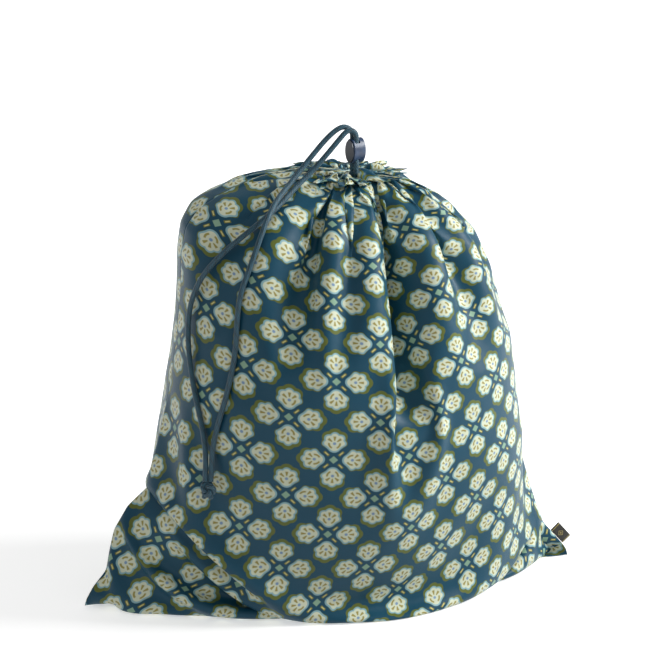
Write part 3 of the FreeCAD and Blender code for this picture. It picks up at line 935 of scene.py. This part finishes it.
def make_cords(material):
    """The drawcord in the casing and its two free tails."""
    radius = CORD_DIAMETER / 2
    loop, _ = tube("drawcord_in_casing", nurbs_line("loop", CORD_LOOP), radius)
    finish_piece(loop, "bag", material, "cord", "drawcord_loop")
    tails = []
    for name, route, node in (("back_cord_tail", BACK_TAIL, "back_tail"),
                              ("front_cord_tail", FRONT_TAIL, "front_tail")):
        line = nurbs_line(name + "_line", route)
        tail, points = tube(name, line, radius, round_ends=False)
        finish_piece(tail, "bag", material, "cord", node)
        tails.append((tail, points, route))
    return tails


KNOT_CENTRE = Vector((-.1505, -.0805, .1415))
KNOT_RING, KNOT_WEAVE, KNOT_CORD = .0038, .0019, .0023


def make_knot(material):
    """Both ends tied in one overhand knot, with the cut and melted tips just showing below."""
    out = Vector((-.55, -.82, .12)).normalized()
    up = Vector((0, 0, 1))
    side = up.cross(out).normalized()
    up = out.cross(side)
    line = []
    for k in range(181):
        t = k / 180 * 2 * pi
        ring = KNOT_RING + KNOT_WEAVE * cos(3 * t)
        place = side * ring * cos(2 * t) + up * ring * sin(2 * t) * 1.05
        line.append(KNOT_CENTRE + place + out * KNOT_WEAVE * 1.2 * sin(3 * t))
    knot, _ = tube("tied_knot", line, KNOT_CORD, round_ends=False, step=.0006)
    finish_piece(knot, "bag", material, "cord", "cord_knot")
    for index, lean in enumerate((-.5, .45)):
        start = KNOT_CENTRE - up * .0030 + side * lean * .004
        end = start - up * .0062 + side * lean * .004 + out * .0006
        tip, _ = tube(f"cord_tip_{index}", [start, (start + end) / 2, end], .0022, step=.0006)
        finish_piece(tip, "bag", material, "cord")
        tip.parent = knot
    return knot


LABEL_EDGE = Vector((.2336, -.0025, .0196))
LABEL_OUT = Vector((.7525, 0, .6587))


def make_label(material):
    """One strip folded in half and sewn into the side seam, with a soft fold and a slight curl."""
    up = Vector((-LABEL_OUT.z, 0, LABEL_OUT.x))
    half = LABEL_THICKNESS / 2
    flat_length = LABEL_WIDTH - half
    profile = [(flat_length * k / 8, half) for k in range(9)]
    profile += [(flat_length + half * sin(a), half * cos(a)) for a in np.linspace(.3, pi - .3, 7)]
    profile += [(flat_length * k / 8, -half) for k in range(8, -1, -1)]
    levels = 13
    vertices, faces, uvs = [], [], []
    for j in range(levels):
        share = j / (levels - 1)
        height = (share - .5) * LABEL_LENGTH
        for outward, through in profile:
            curl = .0005 * (outward / LABEL_WIDTH) ** 2 * sin(share * pi * 1.3)
            place = LABEL_EDGE + LABEL_OUT * outward + up * height
            vertices.append(place + Vector((0, through - curl, 0)))
    count = len(profile)
    for j in range(levels - 1):
        low, high = j / (levels - 1) * LABEL_LENGTH, (j + 1) / (levels - 1) * LABEL_LENGTH
        for i in range(count - 1):
            corner = j * count + i
            faces.append((corner, corner + 1, corner + count + 1, corner + count))
            left, right = profile[i][0], profile[i + 1][0]
            uvs += [(left, low), (right, low), (right, high), (left, high)]
    label = mesh_object("seam_label", vertices, faces, uvs)
    cover = label.modifiers.new("tape", "SOLIDIFY")
    cover.thickness, cover.offset = .00035, -1.0
    rounder = label.modifiers.new("rounder", "SUBSURF")
    rounder.levels = rounder.render_levels = 1
    finish_piece(label, "label", material, "label", "side_label")


# ---------------------------------------------------------------- building the bag

# The upright cylinder that is kept free of cloth for the lock and its slide.
LOCK_X, LOCK_Y, LOCK_ROOM, LOCK_LOW, LOCK_HIGH = .0093, -.0220, .0100, .4195, .4560

cord_material = braided_cord()
tails = make_cords(cord_material)
knot = make_knot(cord_material)
cloth = make_cloth()
for tail, points, _ in tails:
    dent_under(cloth, points, CORD_DIAMETER / 2 + .0007)
clear_round(cloth, LOCK_X, LOCK_Y, LOCK_ROOM, LOCK_LOW, LOCK_HIGH)
print_material = printed_cloth()
make_panels(cloth, print_material)
make_seams(cloth, print_material)
make_stitches(cloth, sewing_thread())
make_label(woven_label())
for node, material in (
    ("lock_body", moulded_plastic("lock_nylon", srgb(22, 42, 70), srgb(40, 64, 96), .36)),
    ("lock_button", moulded_plastic("button_nylon", srgb(10, 18, 32), srgb(22, 34, 52), .3)),
    ("lock_spring", spring_steel()),
):
    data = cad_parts[node].data
    data.materials.clear()
    data.materials.append(material)

# ---------------------------------------------------------------- studio


FLOOR_GLOW = (.50, .95)                  # by the bag, and from over a metre away
ROOM_FRONT, ROOM_BACK = .46, .50


def soft_light(name, place, aim, size, power):
    lamp = bpy.data.lights.new(name, "AREA")
    lamp.shape, lamp.size, lamp.energy = "SQUARE", size, power
    holder = bpy.data.objects.new(name, lamp)
    bpy.context.scene.collection.objects.link(holder)
    holder.location = place
    holder.rotation_euler = (Vector(aim) - Vector(place)).to_track_quat("-Z", "Y").to_euler()


def pale_floor():
    """White paper that glows more the further it is from the bag."""
    paper = Material("pale_floor", .9, specular=.1)
    speckle = paper.noise(12.0, 2.0, flat=False)
    place = paper.node("ShaderNodeSeparateXYZ")
    paper.link(paper.node("ShaderNodeTexCoord").outputs["Object"], place.inputs[0])
    away = Number(paper.tree, place.outputs[0]).length(Number(paper.tree, place.outputs[1]))
    paper.shader.inputs["Emission Color"].default_value = (1, 1, 1, 1)
    glow = FLOOR_GLOW[1] - away.below(.8, .5) * (FLOOR_GLOW[1] - FLOOR_GLOW[0])
    paper.link(glow, paper.shader.inputs["Emission Strength"])
    floor = mesh_object("floor", [(-9, -9, 0), (9, -9, 0), (9, 9, 0), (-9, 9, 0)], [(0, 1, 2, 3)])
    floor.data.materials.append(paper.done(paper.mix(speckle, (.88, .88, .88), (.91, .91, .91))))
    floor.visible_diffuse = False


def white_room():
    """Even light from all round, a little stronger behind the bag, and white to the camera."""
    world = bpy.data.worlds.new("studio")
    bpy.context.scene.world = world
    world.use_nodes = True
    tree = world.node_tree
    place = tree.nodes.new("ShaderNodeSeparateXYZ")
    tree.links.new(tree.nodes.new("ShaderNodeTexCoord").outputs["Generated"], place.inputs[0])
    behind = Number(tree, place.outputs[1]) * .94 + Number(tree, place.outputs[0]) * .34
    strength = ROOM_BACK - behind.below(.35, .5) * (ROOM_BACK - ROOM_FRONT)
    seen = Number(tree, tree.nodes.new("ShaderNodeLightPath").outputs["Is Camera Ray"])
    tree.links.new(seen.pick(strength, 1.0).socket, tree.nodes["Background"].inputs["Strength"])
    tree.nodes["Background"].inputs["Color"].default_value = (1, 1, 1, 1)


CAMERA_AIM = Vector((-.0097, .0056, .2610))
CAMERA_TURN, CAMERA_RISE = radians(-18.0), radians(16.0)
CAMERA_DISTANCE = 2.1
VIEW_WIDTH = 651 * .000953               # metres across the picture at the bag
SENSOR_WIDTH = 36

pale_floor()
white_room()
soft_light("key", (2.0, -.7, 1.3), (0, 0, .2), 1.0, 64)

lens = bpy.data.cameras.new("camera")
camera = bpy.data.objects.new("camera", lens)
bpy.context.scene.collection.objects.link(camera)
bpy.context.scene.camera = camera
toward = Vector((sin(CAMERA_TURN) * cos(CAMERA_RISE), -cos(CAMERA_TURN) * cos(CAMERA_RISE),
                 sin(CAMERA_RISE)))
camera.location = CAMERA_AIM + toward * CAMERA_DISTANCE
camera.rotation_euler = (-toward).to_track_quat("-Z", "Y").to_euler()
lens.sensor_width = SENSOR_WIDTH
lens.lens = SENSOR_WIDTH * CAMERA_DISTANCE / VIEW_WIDTH
bpy.context.scene.view_settings.view_transform = "Standard"
